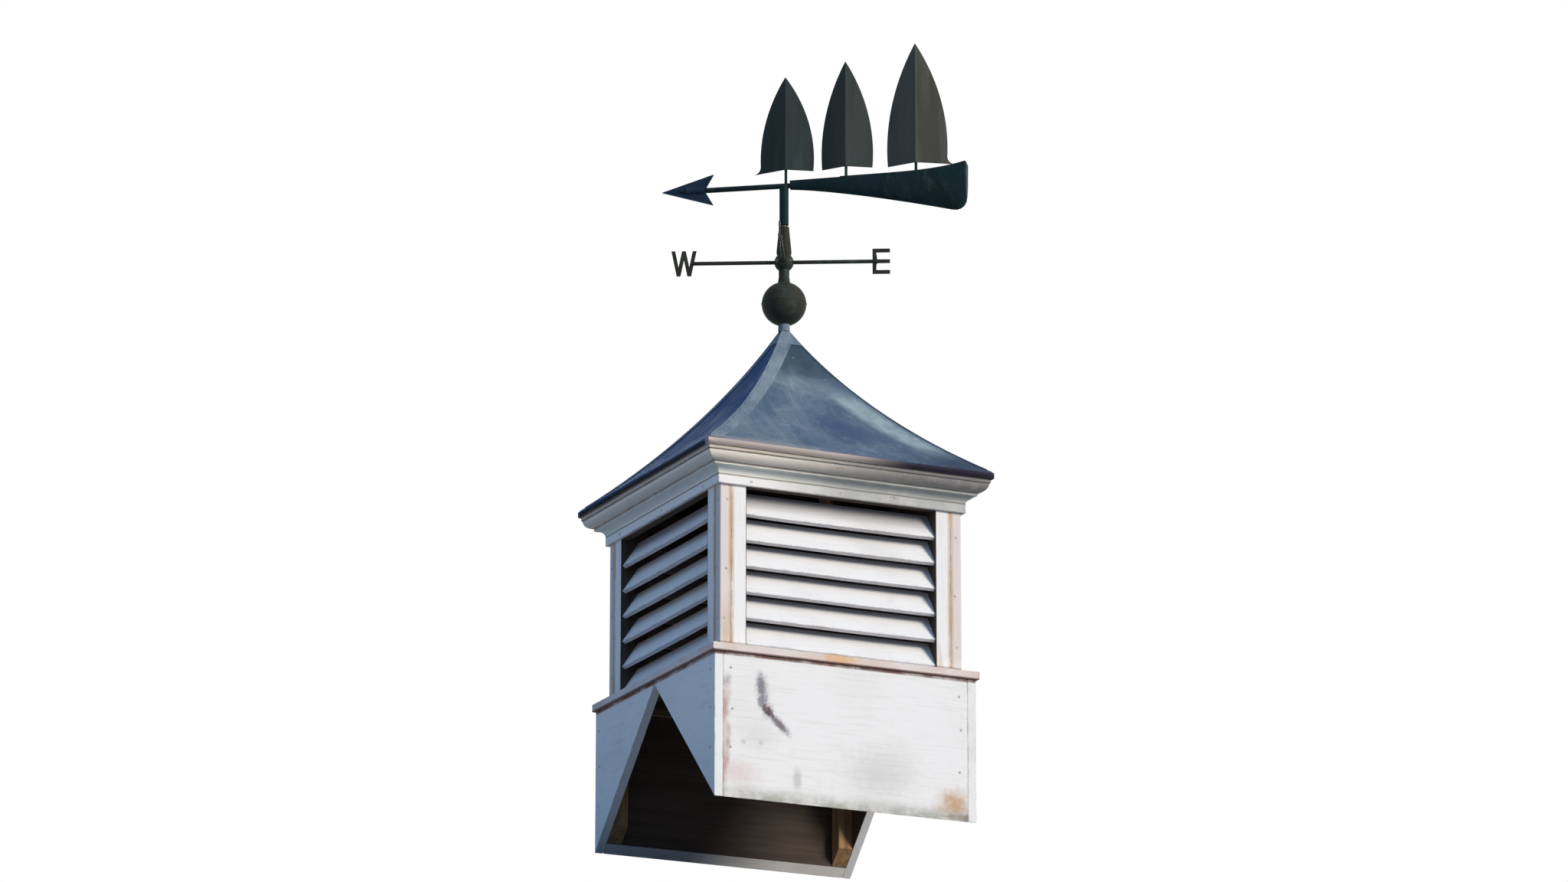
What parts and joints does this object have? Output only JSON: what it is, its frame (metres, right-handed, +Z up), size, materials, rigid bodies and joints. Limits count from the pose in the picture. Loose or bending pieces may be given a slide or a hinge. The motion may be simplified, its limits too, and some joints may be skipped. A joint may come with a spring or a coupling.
{
  "type": "garage cupola with weathervane",
  "caption": "Square louvred cupola for a roof ridge, with a moulded cornice, a flared metal roof, a ball, compass arms and a turning ship weathervane.",
  "frame": {"origin": "on the spindle's axis, level with the lowest edges of the base", "axes": "+X along the roof ridge, +Y from the front eave side towards the back, +Z up along the spindle"},
  "size_m": [0.6366, 0.636, 1.6682],
  "materials": {
    "white_paint": "weathered white paint on boards, grey peeled patches and brown stain",
    "aged_paint": "aged off-white paint on moulding, brown dirt in the hollows",
    "bare_wood": "unpainted softwood",
    "roof_metal": "dark slate-blue patina with paler streaks",
    "dark_patina": "near-black brown patina",
    "spindle_steel": "darkened steel rod",
    "vane_patina": "dark green-black patina with brown rubs"
  },
  "bodies": {
    "cupola": {"base_front": "white_paint", "base_back": "white_paint", "base_left": "white_paint", "base_right": "white_paint", "base_blocks": "bare_wood", "sills_front_back": "white_paint", "sills_left_right": "white_paint", "post_front_left": "white_paint", "post_front_right": "white_paint", "post_back_left": "white_paint", "post_back_right": "white_paint", "corner_strips": "white_paint", "louvres_front": "white_paint", "louvres_back": "white_paint", "louvres_left": "white_paint", "louvres_right": "white_paint", "heads_front_back": "white_paint", "heads_left_right": "white_paint", "cornice_front": "aged_paint", "cornice_back": "aged_paint", "cornice_left": "aged_paint", "cornice_right": "aged_paint", "hip_rafters": "bare_wood", "king_block": "bare_wood", "roof_front": "roof_metal", "roof_back": "roof_metal", "roof_left": "roof_metal", "roof_right": "roof_metal", "roof_cap": "roof_metal", "ball": "dark_patina", "spindle": "spindle_steel", "compass_hub": "dark_patina", "arm_north": "dark_patina", "arm_east": "dark_patina", "arm_south": "dark_patina", "arm_west": "dark_patina"},
    "vane": {"vane_sleeve": "vane_patina", "vane_bar": "vane_patina", "arrow_head": "vane_patina", "ship_hull": "vane_patina", "masts": "vane_patina", "fore_sail": "vane_patina", "main_sail": "vane_patina", "aft_sail": "vane_patina"}
  },
  "joints": [
    {"name": "vane_turn", "type": "hinge", "parent": "cupola", "child": "vane", "pos_m": [0, 0, 1.33], "axis": [0, 0, 1], "continuous": true}
  ]
}
